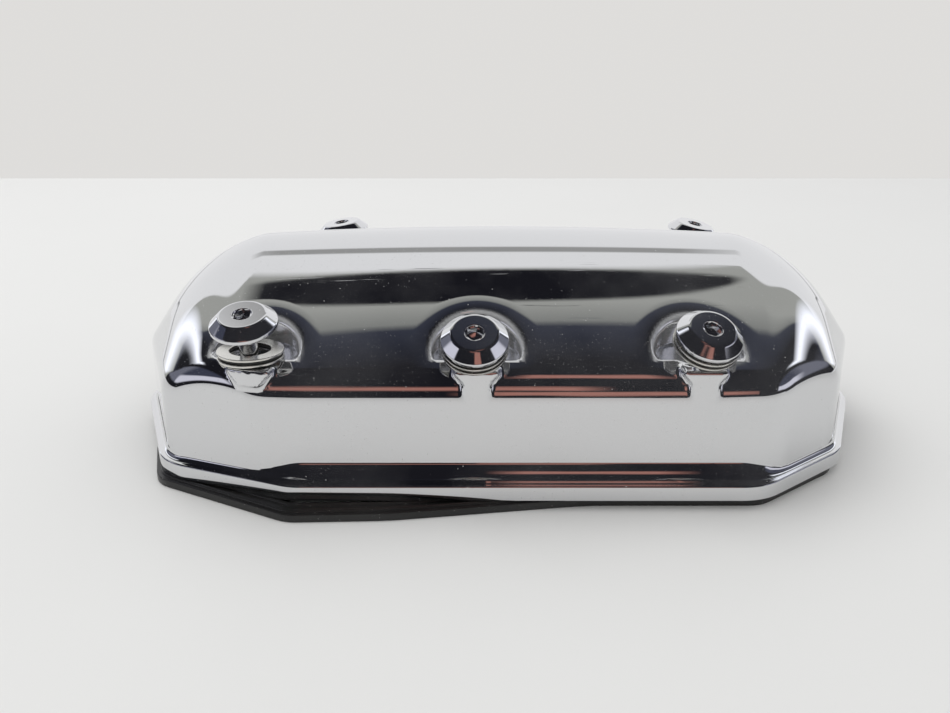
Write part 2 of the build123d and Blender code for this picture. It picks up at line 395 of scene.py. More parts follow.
# The flange: one profile carried round its outline, with the coves that run up to the walls
def flangeMesh():
    c = coverForm
    corners = flangeCorners()
    radii = [c["bendRadius"], c["bendRadius"], c["cornerRadius"], c["noseRadius"], c["cornerRadius"]] * 2
    stations = roundedOutline(corners, radii)
    dense = []
    for a, b in zip(stations, stations[1:] + stations[:1]):
        gap = math.dist(a[:2], b[:2])
        steps = max(1, int(gap / 4))
        for k in range(steps):
            dense.append([u + (v - u) * k / steps for u, v in zip(a, b)])
    dense = np.array(dense)
    dense[:, 2:] /= np.linalg.norm(dense[:, 2:], axis=1)[:, None]
    # the ledge is what the walls leave of the flange
    ledge = np.zeros(len(dense))
    for step in range(12):
        spots = np.column_stack([dense[:, :2] - dense[:, 2:] * ledge[:, None], np.full(len(dense), 10.0)])
        ledge += wallField(spots)[0]
    share = (ledge - c["sideLedge"]) / (c["frontLedge"] - c["sideLedge"])
    rise = c["sideCove"] + (c["frontCove"] - c["sideCove"]) * np.clip(share, 0, 1)
    edge, thick = c["flangeEdge"], c["flangeThickness"]
    profile = [(edge * 0.6 * (1 - math.sin(t)), edge * 0.6 * (1 - math.cos(t)))
               for t in np.linspace(0, math.pi / 2, 4)]
    profile += [(edge * (1 - math.cos(t)), thick - edge * (1 - math.sin(t)))
                for t in np.linspace(0, math.pi / 2 * 0.8, 5)]
    rings = []
    for inset, height in profile:
        rings.append((np.full(len(dense), inset), np.full(len(dense), height)))
    startIn, startUp = rings[-1][0][0], rings[-1][1][0]
    for t in np.linspace(0, 1, 10)[1:]:
        bow = 4 * t * (1 - t) * c["coveSag"]
        chord = np.hypot(ledge - startIn, rise)
        inset = startIn + (ledge - startIn) * t + bow * rise / chord * 0.75
        height = startUp + (thick + rise - startUp) * t
        height = height - bow * (ledge - startIn) / chord * (rise / c["frontCove"])
        rings.append((inset, height))
    rings.append((ledge + 2.0, thick + rise))
    verts, faces = [], []
    total = len(dense)
    for inset, height in rings:
        xy = dense[:, :2] - dense[:, 2:] * inset[:, None]
        verts += [(x, y, z) for (x, y), z in zip(xy, height)]
    for r in range(len(rings) - 1):
        for i in range(total):
            j = (i + 1) % total
            faces.append((r * total + i, r * total + j, (r + 1) * total + j, (r + 1) * total + i))
    faces.append(tuple(reversed(range(total))))
    faces.append(tuple((len(rings) - 1) * total + i for i in range(total)))
    return verts, faces


def boltBores():
    c = coverForm
    verts, faces = [], []
    for x, y in boltHoles():
        base = len(verts)
        for z in (c["seat"] - 9, c["seat"] + 4):
            verts += [(x + c["holeRadius"] * math.cos(math.tau * k / 48),
                       y + c["holeRadius"] * math.sin(math.tau * k / 48), z) for k in range(48)]
        for k in range(48):
            faces.append((base + k, base + (k + 1) % 48, base + 48 + (k + 1) % 48, base + 48 + k))
        faces.append(tuple(base + k for k in reversed(range(48))))
        faces.append(tuple(base + 48 + k for k in range(48)))
    return verts, faces


def combine(target, other, operation):
    modifier = target.modifiers.new("join", "BOOLEAN")
    modifier.object = other
    modifier.operation = operation
    modifier.solver = "MANIFOLD"
    depsgraph = bpy.context.evaluated_depsgraph_get()
    result = bpy.data.meshes.new_from_object(target.evaluated_get(depsgraph))
    target.modifiers.clear()
    target.data = result
    bpy.data.objects.remove(other)


def buildCover():
    c = coverForm
    reach = (c["halfLength"] + 4, c["halfDepth"] + 4)
    low, high = (-reach[0], -reach[1], -3), (reach[0], reach[1], 76)
    skin = meshOfField(skinField, low, high, c["skinCell"], 1.0)
    print("cover skin:", len(skin[0]), "points")
    cover = meshObject("chromeCover", *skin)
    combine(cover, meshObject("flangeRing", *flangeMesh()), "UNION")
    room = meshOfField(roomField, (-reach[0], -reach[1], -9), (reach[0], reach[1], 74), c["roomCell"], -4.0)
    print("cover room:", len(room[0]), "points")
    combine(cover, meshObject("coverRoom", *room), "DIFFERENCE")
    combine(cover, meshObject("boltBores", *boltBores()), "DIFFERENCE")
    return cover


# the pockets' finish, and where the painted highlight round each rim lies
pocketFinishAndRimHighlight = {"satinTo": 1.9, "satinFade": 1.6, "rimAt": 0.7, "rimWidth": 0.6}   # millimetres past its radius


def meshValues(items, key, width, kind=float):
    values = np.zeros(len(items) * width, kind)
    items.foreach_get(key, values)
    return values.reshape(-1, width) if width > 1 else values


# Normals from the form itself, marks for the pockets' finish and for a painted highlight round their rims, and
# which faces are the as-cast inside
def finishCover(cover):
    c = coverForm
    mesh = cover.data
    co = meshValues(mesh.vertices, "co", 3)
    loops = meshValues(mesh.loops, "vertex_index", 1, np.int64)
    totals = meshValues(mesh.polygons, "loop_total", 1, np.int64)
    fn = np.repeat(meshValues(mesh.polygons, "normal", 3), totals, 0)
    normals = fn.copy()
    # which corners belong to the skin and which to the room
    skinValue, skinGrad = skinField(co)
    roomValue, roomGrad = roomField(co)
    sg, rg = (g / np.maximum(np.linalg.norm(g, axis=1), 1e-6)[:, None]
              for g in (skinGrad[loops], -roomGrad[loops]))
    onSkin = (np.abs(skinValue[loops]) < 0.06) & ((sg * fn).sum(1) > 0.6)
    onRoom = (np.abs(roomValue[loops]) < 0.2) & ((rg * fn).sum(1) > 0.5) & ~onSkin
    normals[onSkin] = sg[onSkin]
    normals[onRoom] = rg[onRoom]
    # the flange: each corner takes the mean of the faces there that turn little
    rest = ~onSkin & ~onRoom
    order = np.argsort(loops[rest], kind="stable")
    corners = np.nonzero(rest)[0][order]
    bounds = np.nonzero(np.diff(loops[corners]))[0] + 1
    for group, faces in zip(np.split(corners, bounds), np.split(fn[corners], bounds)):
        dots = faces @ faces.T
        for i, row in zip(group, dots):
            mean = faces[row > 0.9].sum(0)
            normals[i] = mean / np.linalg.norm(mean)
    # the pockets were not polished; a narrow band round each rim is marked for a painted highlight, where the
    # chrome is made less metallic so that it shows bright
    rough, edge = np.zeros(len(co)), np.zeros(len(co))
    aboveSeat = co[:, 2] > c["seat"] - 0.3
    for x, y in boltHoles():
        gone = np.hypot(co[:, 0] - x, co[:, 1] - y) - c["pocketRadius"]
        inPocket = np.clip((pocketFinishAndRimHighlight["satinTo"] - gone) / pocketFinishAndRimHighlight["satinFade"], 0, 1)
        onRim = np.exp(-((gone - pocketFinishAndRimHighlight["rimAt"]) / pocketFinishAndRimHighlight["rimWidth"]) ** 2)
        rough = np.maximum(rough, inPocket * aboveSeat)
        edge = np.maximum(edge, onRim * aboveSeat)
    mesh.attributes.new("unpolished", "FLOAT", "POINT").data.foreach_set("value", rough)
    mesh.attributes.new("paintedRimHighlight", "FLOAT", "POINT").data.foreach_set("value", edge)
    mesh.polygons.foreach_set("use_smooth", np.ones(len(mesh.polygons), bool))
    mesh.normals_split_custom_set(normals.tolist())
    return (np.abs(roomField(meshValues(mesh.polygons, "center", 3))[0]) < 0.5).astype(np.int32)


def nodeGroup(name, inputs, outputs):
    tree = bpy.data.node_groups.new(name, "ShaderNodeTree")
    for label, kind, default in inputs:
        socket = tree.interface.new_socket(label, in_out="INPUT", socket_type=kind)
        if default is not None:
            socket.default_value = default
    for label, kind in outputs:
        tree.interface.new_socket(label, in_out="OUTPUT", socket_type=kind)
    return tree, tree.nodes.new("NodeGroupInput"), tree.nodes.new("NodeGroupOutput")


def addNode(tree, kind, values=None, **settings):
    node = tree.nodes.new(kind)
    for key, value in settings.items():
        setattr(node, key, value)
    for key, value in (values or {}).items():
        node.inputs[key].default_value = value
    return node


def link(tree, a, b):
    tree.links.new(a, b)


def mathNode(tree, operation, a, b=None, clamp=False):
    node = addNode(tree, "ShaderNodeMath", operation=operation, use_clamp=clamp)
    for socket, value in zip(node.inputs, (a, b)):
        if value is None:
            continue
        if isinstance(value, (int, float)):
            socket.default_value = value
        else:
            link(tree, value, socket)
    return node.outputs[0]


def mixColour(tree, factor, a, b):
    node = addNode(tree, "ShaderNodeMix", data_type="RGBA")
    for socket, value in ((node.inputs[0], factor), (node.inputs[6], a), (node.inputs[7], b)):
        if isinstance(value, (int, float, tuple)):
            socket.default_value = value
        else:
            link(tree, value, socket)
    return node.outputs[2]


def rangeNode(tree, value, low, high, outLow, outHigh):
    node = addNode(tree, "ShaderNodeMapRange",
                   {"From Min": low, "From Max": high, "To Min": outLow, "To Max": outHigh})
    link(tree, value, node.inputs["Value"])
    return node.outputs[0]


def dustGroup():
    number, colour = "NodeSocketFloat", "NodeSocketColor"
    tree, inp, out = nodeGroup(
        "dustAndScratches",
        [("Speck Scale", number, 700.0), ("Speck Amount", number, 0.5), ("Scratch Amount", number, 0.3)],
        [("Specks", number), ("Scratches", number), ("Haze", number), ("Height", number)],
    )
    coords = addNode(tree, "ShaderNodeTexCoord")
    cells = addNode(tree, "ShaderNodeTexVoronoi", {"Randomness": 1.0})
    link(tree, coords.outputs["Object"], cells.inputs["Vector"])
    link(tree, inp.outputs["Speck Scale"], cells.inputs["Scale"])
    near = mathNode(tree, "LESS_THAN", cells.outputs["Distance"], 0.1)
    seldom = addNode(tree, "ShaderNodeSeparateColor")
    link(tree, cells.outputs["Color"], seldom.inputs[0])
    chance = mathNode(tree, "MULTIPLY", inp.outputs["Speck Amount"], 0.1)
    pick = mathNode(tree, "LESS_THAN", seldom.outputs[0], chance)
    fine = addNode(tree, "ShaderNodeTexVoronoi", {"Randomness": 1.0})
    link(tree, coords.outputs["Object"], fine.inputs["Vector"])
    link(tree, mathNode(tree, "MULTIPLY", inp.outputs["Speck Scale"], 2.3), fine.inputs["Scale"])
    fineNear = mathNode(tree, "LESS_THAN", fine.outputs["Distance"], 0.16)
    fineSplit = addNode(tree, "ShaderNodeSeparateColor")
    link(tree, fine.outputs["Color"], fineSplit.inputs[0])
    drift = addNode(tree, "ShaderNodeTexNoise", {"Scale": 22.0, "Detail": 2.0})
    link(tree, coords.outputs["Object"], drift.inputs["Vector"])
    often = rangeNode(tree, drift.outputs[0], 0.40, 0.70, 0.02, 0.5)
    often = mathNode(tree, "MULTIPLY", often, inp.outputs["Speck Amount"])
    finePick = mathNode(tree, "LESS_THAN", fineSplit.outputs[0], often)
    fineSpecks = mathNode(tree, "MULTIPLY", mathNode(tree, "MULTIPLY", fineNear, finePick), 0.35)
    specks = mathNode(tree, "MAXIMUM", mathNode(tree, "MULTIPLY", near, pick), fineSpecks)
    link(tree, specks, out.inputs["Specks"])
    stretch = addNode(tree, "ShaderNodeMapping", {"Rotation": (0.3, 0.5, 0.9), "Scale": (30.0, 900.0, 500.0)})
    link(tree, coords.outputs["Object"], stretch.inputs["Vector"])
    lines = addNode(tree, "ShaderNodeTexNoise", {"Scale": 1.0, "Detail": 2.0})
    link(tree, stretch.outputs[0], lines.inputs["Vector"])
    thin = addNode(tree, "ShaderNodeMapRange", {"From Min": 0.70, "From Max": 0.80})
    link(tree, lines.outputs[0], thin.inputs["Value"])
    scratches = mathNode(tree, "MULTIPLY", thin.outputs[0], inp.outputs["Scratch Amount"])
    link(tree, scratches, out.inputs["Scratches"])
    cloud = addNode(tree, "ShaderNodeTexNoise", {"Scale": 14.0, "Detail": 5.0, "Roughness": 0.6})
    link(tree, coords.outputs["Object"], cloud.inputs["Vector"])
    link(tree, cloud.outputs[0], out.inputs["Haze"])
    height = mathNode(tree, "ADD", specks, mathNode(tree, "MULTIPLY", scratches, -0.3))
    link(tree, height, out.inputs["Height"])
    return tree


dust = dustGroup()


def newMaterial(name):
    material = bpy.data.materials.new(name)
    material.use_nodes = True
    tree = material.node_tree
    return material, tree, tree.nodes["Principled BSDF"]


def dusty(tree, speckScale, specks, scratches):
    node = addNode(tree, "ShaderNodeGroup", node_tree=dust)
    node.inputs["Speck Scale"].default_value = speckScale
    node.inputs["Speck Amount"].default_value = specks
    node.inputs["Scratch Amount"].default_value = scratches
    return node


chromeLook = {
    "tint": (0.725, 0.73, 0.74, 1),
    "dustTint": (0.55, 0.55, 0.54, 1),
    "smooth": 0.012,
    "dull": 0.05,
    "film": 0.06,
    "specks": 0.6,
    "scratches": 0.35,
    "pocketRough": (0.06, 0.18),
    "pocketFilm": 0.05,
    # how much less metallic the band round each pocket's rim is: a painted highlight, bright where the rim
    # would mirror light
    "rimHighlightStrength": 0.5,
}
boltLook = {**chromeLook, "tint": (0.74, 0.745, 0.76, 1), "dustTint": (0.5, 0.5, 0.5, 1),
            "smooth": 0.03, "dull": 0.12, "film": 0.03, "specks": 0.4, "scratches": 0.3}
washerLook = {**chromeLook, "tint": (0.74, 0.73, 0.69, 1), "dustTint": (0.6, 0.55, 0.4, 1),
              "smooth": 0.16, "dull": 0.34, "film": 0.08, "specks": 1.0, "scratches": 0.8}


def chromeMaterial(name, look):
    material, tree, shader = newMaterial(name)
    marks = dusty(tree, 620.0, look["specks"], look["scratches"])
    colour = mixColour(tree, marks.outputs["Specks"], look["tint"], look["dustTint"])
    link(tree, colour, shader.inputs["Base Color"])
    rough = rangeNode(tree, marks.outputs["Haze"], 0.35, 0.75, look["smooth"], look["dull"])
    for mark, amount in (("Specks", 0.5), ("Scratches", 0.18)):
        more = mathNode(tree, "MULTIPLY", marks.outputs[mark], amount)
        rough = mathNode(tree, "ADD", rough, more, clamp=True)
    raw = addNode(tree, "ShaderNodeAttribute", attribute_name="unpolished").outputs["Fac"]
    grain = addNode(tree, "ShaderNodeTexNoise", {"Scale": 900.0, "Detail": 3.0})
    link(tree, addNode(tree, "ShaderNodeTexCoord").outputs["Object"], grain.inputs["Vector"])
    grainy = rangeNode(tree, grain.outputs[0], 0.3, 0.7, *look["pocketRough"])
    rough = mathNode(tree, "ADD", rough, mathNode(tree, "MULTIPLY", raw, grainy))
    link(tree, rough, shader.inputs["Roughness"])
    metal = mathNode(tree, "SUBTRACT", 1.0, mathNode(tree, "MULTIPLY", marks.outputs["Specks"], 0.8))
    film = rangeNode(tree, marks.outputs["Haze"], 0.40, 0.75, 0.0, look["film"])
    metal = mathNode(tree, "SUBTRACT", metal, film, clamp=True)
    metal = mathNode(tree, "SUBTRACT", metal, mathNode(tree, "MULTIPLY", raw, look["pocketFilm"]), clamp=True)
    # the band round each pocket's rim loses metal and shows its bright diffuse colour: a painted highlight
    worn = addNode(tree, "ShaderNodeAttribute", attribute_name="paintedRimHighlight").outputs["Fac"]
    metal = mathNode(tree, "SUBTRACT", metal, mathNode(tree, "MULTIPLY", worn, look["rimHighlightStrength"]), clamp=True)
    link(tree, metal, shader.inputs["Metallic"])
    bump = addNode(tree, "ShaderNodeBump", {"Strength": 0.12, "Distance": 0.0002})
    link(tree, marks.outputs["Height"], bump.inputs["Height"])
    link(tree, bump.outputs[0], shader.inputs["Normal"])
    return material


def castMaterial():
    material, tree, shader = newMaterial("asCastInside")
    coords = addNode(tree, "ShaderNodeTexCoord")
    grain = addNode(tree, "ShaderNodeTexNoise", {"Scale": 420.0, "Detail": 4.0})
    link(tree, coords.outputs["Object"], grain.inputs["Vector"])
    link(tree, mixColour(tree, grain.outputs[0], (0.42, 0.42, 0.43, 1), (0.60, 0.60, 0.60, 1)),
         shader.inputs["Base Color"])
    shader.inputs["Metallic"].default_value = 0.9
    link(tree, rangeNode(tree, grain.outputs[0], 0.3, 0.7, 0.42, 0.6), shader.inputs["Roughness"])
    bump = addNode(tree, "ShaderNodeBump", {"Strength": 0.4, "Distance": 0.0003})
    link(tree, grain.outputs[0], bump.inputs["Height"])
    link(tree, bump.outputs[0], shader.inputs["Normal"])
    return material


rubberLook = {"dark": (0.012, 0.012, 0.012, 1), "worn": (0.045, 0.045, 0.043, 1)}


def rubberMaterial(name):
    material, tree, shader = newMaterial(name)
    marks = dusty(tree, 900.0, 1.6, 0.5)
    colour = mixColour(tree, rangeNode(tree, marks.outputs["Haze"], 0.4, 0.75, 0.0, 0.6),
                       rubberLook["dark"], rubberLook["worn"])
    colour = mixColour(tree, marks.outputs["Specks"], colour, (0.35, 0.35, 0.33, 1))
    link(tree, colour, shader.inputs["Base Color"])
    link(tree, rangeNode(tree, marks.outputs["Haze"], 0.3, 0.7, 0.28, 0.5), shader.inputs["Roughness"])
    bump = addNode(tree, "ShaderNodeBump", {"Strength": 0.3, "Distance": 0.0004})
    link(tree, marks.outputs["Haze"], bump.inputs["Height"])
    link(tree, bump.outputs[0], shader.inputs["Normal"])
    return material


chrome = chromeMaterial("chromePlate", chromeLook)
cast = castMaterial()
rubber = rubberMaterial("gasketRubber")
boltChrome = chromeMaterial("boltChrome", boltLook)
washerSteel = chromeMaterial("washerSteel", washerLook)
ringRubber = rubberMaterial("ringRubber")

cover = buildCover()
inside = finishCover(cover)
cover.data.transform(Matrix.Translation(deckPoint) @ Matrix.Scale(mm, 4))
cover.data.materials.clear()
cover.data.materials.append(chrome)
cover.data.materials.append(cast)
cover.data.polygons.foreach_set("material_index", inside)
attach(cover, "root")
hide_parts("cover_shell")
print("cover built:", len(cover.data.polygons), "faces")


boltShape = {   # millimetres, degrees; each lean is forward, right, and its shift on the seat
    "seatLevel": 44.9,
    "rimToTip": 60.4,
    "shank": 6.0,
    "collar": 14.0,
    "collarHeight": 1.0,
    "head": 21.5,
    "headRim": 1.2,
    "headFace": 15.0,
    "headCone": 3.2,
    "countersink": 6.3,
    "socketFlats": 5.0,
    "socketDepth": 3.1,
    "tipChamfer": 0.8,
    "edgeRound": 0.35,
    "faceRound": 0.55,
    "around": 72,
    "leans": ((16.8, -2.0, (-0.5, -2.3)), (30.5, 0.0, (-0.6, -2.4)), (28.5, 8.5, (0.3, -0.4)),
              (1.0, -9.0, (0.0, -2.0)), (-30.5, 0.0, (0.6, 2.4)), (4.0, 12.0, (0.8, -1.8))),
}
isolatorShape = {
    "washerOuter": 21.5,
    "washerBore": 13.2,
    "washerThickness": 0.9,
    "rubberOuter": 20.2,
    "rubberThickness": 1.0,
    "washerRound": 0.28,
    "rubberRound": 0.4,
    "around": 72,
    "onSeat": {0: (-1.0, -0.1), 3: (0.0, -1.0), 5: (0.9, -1.0)},
}


# A half profile of radii and heights with its corners rounded; radius 0 keeps a corner
def roundedProfile(points, closed):
    out = []
    for i, (r, z, radius) in enumerate(points):
        if not radius or (not closed and i in (0, len(points) - 1)):
            out.append((r, z))
            continue
        p = Vector((r, z))
        a = Vector(points[i - 1][:2]) - p
        b = Vector(points[(i + 1) % len(points)][:2]) - p
        reach = min(radius, a.length * 0.45, b.length * 0.45)
        a, b = p + a.normalized() * reach, p + b.normalized() * reach
        for k in range(6):
            s = k / 5
            out.append(tuple((1 - s) ** 2 * a + 2 * s * (1 - s) * p + s * s * b))
    return out


# Rings close to both ends of each long straight part keep its shading flat
def supported(profile, closed, reach=0.07):
    out = []
    for i, a in enumerate(profile):
        out.append(a)
        if i + 1 == len(profile) and not closed:
            break
        a, b = Vector(a), Vector(profile[(i + 1) % len(profile)])
        if (b - a).length > reach * 6:
            step = (b - a).normalized() * reach
            out += [tuple(a + step), tuple(b - step)]
    return out


def turnedObject(name, rings, around, closed):
    verts, faces = [], []
    for radius, z in rings:
        for k in range(around):
            angle = math.tau * k / around
            r = radius(angle) if callable(radius) else radius
            verts.append((r * math.cos(angle) * mm, r * math.sin(angle) * mm, z * mm))
    spans = len(rings) if closed else len(rings) - 1
    for i in range(spans):
        low, high = i * around, (i + 1) % len(rings) * around
        for k in range(around):
            j = (k + 1) % around
            faces.append((low + k, low + j, high + j, high + k))
    if not closed:
        faces.append(tuple(reversed(range(around))))
        faces.append(tuple((len(rings) - 1) * around + k for k in range(around)))
    obj = meshObject(name, verts, faces)
    obj.data.shade_smooth()
    obj.data.set_sharp_from_angle(angle=math.radians(32))
    return obj


def boltTemplate():
    c = boltShape
    under = c["rimToTip"] - c["headRim"] - c["collarHeight"]
    top = c["rimToTip"] + c["headCone"]
    edge = c["edgeRound"]
    outside = roundedProfile([
        (c["shank"] / 2 - c["tipChamfer"], 0, 0),
        (c["shank"] / 2, c["tipChamfer"], 0.2),
        (c["shank"] / 2, under, 0.3),
        (c["collar"] / 2, under, 0.2),
        (c["collar"] / 2, under + c["collarHeight"], 0.15),
        (c["head"] / 2, under + c["collarHeight"], edge),
        (c["head"] / 2, c["rimToTip"], edge),
        (c["headFace"] / 2, top, c["faceRound"]),
        (c["countersink"] / 2, top, 0.2),
        (c["socketFlats"] / 2 + 0.45, top - 0.5, 0),
    ], False)
    flat = c["socketFlats"] / 2
    hexagon = lambda angle: flat / math.cos((angle % (math.pi / 3)) - math.pi / 6)
    rings = supported(outside, False)
    rings += [(hexagon, top - 0.62), (hexagon, top - c["socketDepth"]), (0.4, top - c["socketDepth"] - 0.8)]
    return turnedObject("boltTemplate", rings, c["around"], False)


def ringTemplate(name, outer, thickness, rounding):
    bore, around = isolatorShape["washerBore"] / 2, isolatorShape["around"]
    profile = [(bore, 0, rounding), (outer / 2, 0, rounding), (outer / 2, thickness, rounding),
               (bore, thickness, rounding)]
    return turnedObject(name, supported(roundedProfile(profile, True), True), around, True)


def boltLine(index):
    c = boltShape
    hole = boltHoles()[index]
    forward, aside, shift = c["leans"][index]
    direction = Vector((math.tan(math.radians(aside)), -math.tan(math.radians(forward)), 1)).normalized()
    tipHeight = c["shank"] / 2 * math.sqrt(1 - direction.z ** 2)
    crossing = Vector((hole[0] + shift[0], hole[1] + shift[1] + deckPoint.y / mm, c["seatLevel"]))
    return crossing - direction * ((c["seatLevel"] - tipHeight) / direction.z), direction


# Copies of a template at points that carry their own turn, each spun about its axis by a seeded amount
def copyGroup():
    tree = bpy.data.node_groups.new("placedCopies", "GeometryNodeTree")
    face = tree.interface
    face.new_socket("Places", in_out="INPUT", socket_type="NodeSocketGeometry")
    face.new_socket("Template", in_out="INPUT", socket_type="NodeSocketObject")
    face.new_socket("Material", in_out="INPUT", socket_type="NodeSocketMaterial")
    face.new_socket("Spin", in_out="INPUT", socket_type="NodeSocketFloat").default_value = 0.0
    face.new_socket("Seed", in_out="INPUT", socket_type="NodeSocketInt").default_value = 7
    face.new_socket("Geometry", in_out="OUTPUT", socket_type="NodeSocketGeometry")
    inp, out = tree.nodes.new("NodeGroupInput"), tree.nodes.new("NodeGroupOutput")
    source = tree.nodes.new("GeometryNodeObjectInfo")
    link(tree, inp.outputs["Template"], source.inputs["Object"])
    points = tree.nodes.new("GeometryNodeMeshToPoints")
    link(tree, inp.outputs["Places"], points.inputs["Mesh"])
    turn = addNode(tree, "GeometryNodeInputNamedAttribute", {"Name": "lean"}, data_type="FLOAT_VECTOR")
    rotation = tree.nodes.new("FunctionNodeEulerToRotation")
    link(tree, turn.outputs[0], rotation.inputs[0])
    chance = addNode(tree, "FunctionNodeRandomValue", data_type="FLOAT")
    link(tree, inp.outputs["Seed"], chance.inputs["Seed"])
    spin = mathNode(tree, "MULTIPLY", chance.outputs[1], inp.outputs["Spin"])
    spinTurn = addNode(tree, "FunctionNodeAxisAngleToRotation", {"Axis": (0, 0, 1)})
    link(tree, spin, spinTurn.inputs["Angle"])
    both = addNode(tree, "FunctionNodeRotateRotation", rotation_space="LOCAL")
    link(tree, rotation.outputs[0], both.inputs["Rotation"])
    link(tree, spinTurn.outputs[0], both.inputs["Rotate By"])
    copies = tree.nodes.new("GeometryNodeInstanceOnPoints")
    link(tree, points.outputs[0], copies.inputs["Points"])
    link(tree, source.outputs["Geometry"], copies.inputs["Instance"])
    link(tree, both.outputs[0], copies.inputs["Rotation"])
    real = tree.nodes.new("GeometryNodeRealizeInstances")
    link(tree, copies.outputs[0], real.inputs[0])
    dressed = tree.nodes.new("GeometryNodeSetMaterial")
    link(tree, real.outputs[0], dressed.inputs["Geometry"])
    link(tree, inp.outputs["Material"], dressed.inputs["Material"])
    link(tree, dressed.outputs[0], out.inputs[0])
    return tree


placedCopies = copyGroup()


def placeCopies(name, template, spots, material, spin, replaced):
    piece = meshObject(name, [place * mm for place, _ in spots], [])
    leans = piece.data.attributes.new("lean", "FLOAT_VECTOR", "POINT")
    for entry, (_, direction) in zip(leans.data, spots):
        across = direction.cross(Vector((1, 0, 0))).normalized()
        turn = Matrix((across.cross(direction), across, direction)).transposed()
        entry.vector = turn.to_euler()
    modifier = piece.modifiers.new("copies", "NODES")
    modifier.node_group = placedCopies
    values = {"Template": template, "Material": material, "Spin": spin, "Seed": 11}
    for socket in placedCopies.interface.items_tree:
        if socket.name in values:
            modifier[socket.identifier] = values[socket.name]
    mesh = bpy.data.meshes.new_from_object(piece.evaluated_get(bpy.context.evaluated_depsgraph_get()))
    piece.modifiers.clear()
    piece.data = mesh
    bpy.data.objects.remove(template)
    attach(piece, "root")
    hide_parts(*replaced)
    print(name, len(mesh.polygons), "faces")


def buildFasteners():
    c, s = boltShape, isolatorShape
    lines = [boltLine(i) for i in range(len(places))]
    placeCopies("socketBolts", boltTemplate(), lines, boltChrome, 0.9,
                [place + "_bolt" for place in places])
    stackHeight = 2 * s["washerThickness"] + s["rubberThickness"]
    under = c["rimToTip"] - c["headRim"] - c["collarHeight"]
    bases = []
    for i, (tip, direction) in enumerate(lines):
        if i in s["onSeat"]:
            hole, shift = boltHoles()[i], s["onSeat"][i]
            base = Vector((hole[0] + shift[0], hole[1] + shift[1] + deckPoint.y / mm, c["seatLevel"]))
            bases.append((base, Vector((0, 0, 1))))
        else:
            bases.append((tip + direction * (under - stackHeight), direction))
    upper = s["washerThickness"] + s["rubberThickness"]
    washers = bases + [(base + direction * upper, direction) for base, direction in bases]
    rings = [(base + direction * s["washerThickness"], direction) for base, direction in bases]
    washer = ringTemplate("washer", s["washerOuter"], s["washerThickness"], s["washerRound"])
    washerNames = [place + end for end in ("_lower_washer", "_upper_washer") for place in places]
    placeCopies("isolatorWashers", washer, washers, washerSteel, 3.0, washerNames)
    rubberRing = ringTemplate("rubberRing", s["rubberOuter"], s["rubberThickness"], s["rubberRound"])
    placeCopies("isolatorRings", rubberRing, rings, ringRubber, 3.0,
                [place + "_rubber_ring" for place in places])


buildFasteners()

gasketLook = {"edgeRound": 0.3, "segments": 3}


def buildGasket():
    source = nodes["perimeter_gasket"]
    piece = meshObject("mouldedGasket", [], [])
    piece.data = source.data.copy()
    piece.data.transform(source.matrix_world)
    piece.data.name = "mouldedGasket"
    shape = bmesh.new()
    shape.from_mesh(piece.data)
    bmesh.ops.remove_doubles(shape, verts=shape.verts, dist=1e-6)
    bmesh.ops.recalc_face_normals(shape, faces=shape.faces)
    shape.to_mesh(piece.data)
    shape.free()
    bevel = piece.modifiers.new("round", "BEVEL")
    bevel.width = gasketLook["edgeRound"] * mm
    bevel.segments = gasketLook["segments"]
    bevel.limit_method = "ANGLE"
    bevel.angle_limit = math.radians(50)
    bevel.harden_normals = True
    mesh = bpy.data.meshes.new_from_object(piece.evaluated_get(bpy.context.evaluated_depsgraph_get()))
    piece.modifiers.clear()
    piece.data = mesh
    mesh.materials.clear()
    mesh.materials.append(rubber)
    mesh.polygons.foreach_set("material_index", np.zeros(len(mesh.polygons), np.int32))
    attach(piece, "root")
    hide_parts("perimeter_gasket")
    print("gasket", len(mesh.polygons), "faces")


buildGasket()

studio = {
    "tableTop": (0.80, 0.80, 0.79, 1),
    "backdrop": (0.735, 0.725, 0.71, 1),
    "tableEnd": 0.53,
    "tableReach": 3.0,
    "worldDiffuse": 0.82,
    "lampPower": 5.0,
}


def stagePlane(name, corners, material):
    obj = meshObject(name, corners, [tuple(range(len(corners)))])
    obj.data.materials.append(material)


def tableMaterial():
    material, tree, shader = newMaterial("tableTop")
    coords = addNode(tree, "ShaderNodeTexCoord")
    cloud = addNode(tree, "ShaderNodeTexNoise", {"Scale": 6.0, "Detail": 4.0})
    link(tree, coords.outputs["Object"], cloud.inputs["Vector"])
    low = tuple(v * 0.96 for v in studio["tableTop"][:3]) + (1,)
    link(tree, mixColour(tree, cloud.outputs[0], low, studio["tableTop"]), shader.inputs["Base Color"])
    shader.inputs["Roughness"].default_value = 0.45
    shader.inputs["Specular IOR Level"].default_value = 0.2
    return material


reach, end = studio["tableReach"], studio["tableEnd"]
stagePlane("tableFloor", [(-reach, -reach, 0), (reach, -reach, 0), (reach, end, 0), (-reach, end, 0)],
           tableMaterial())


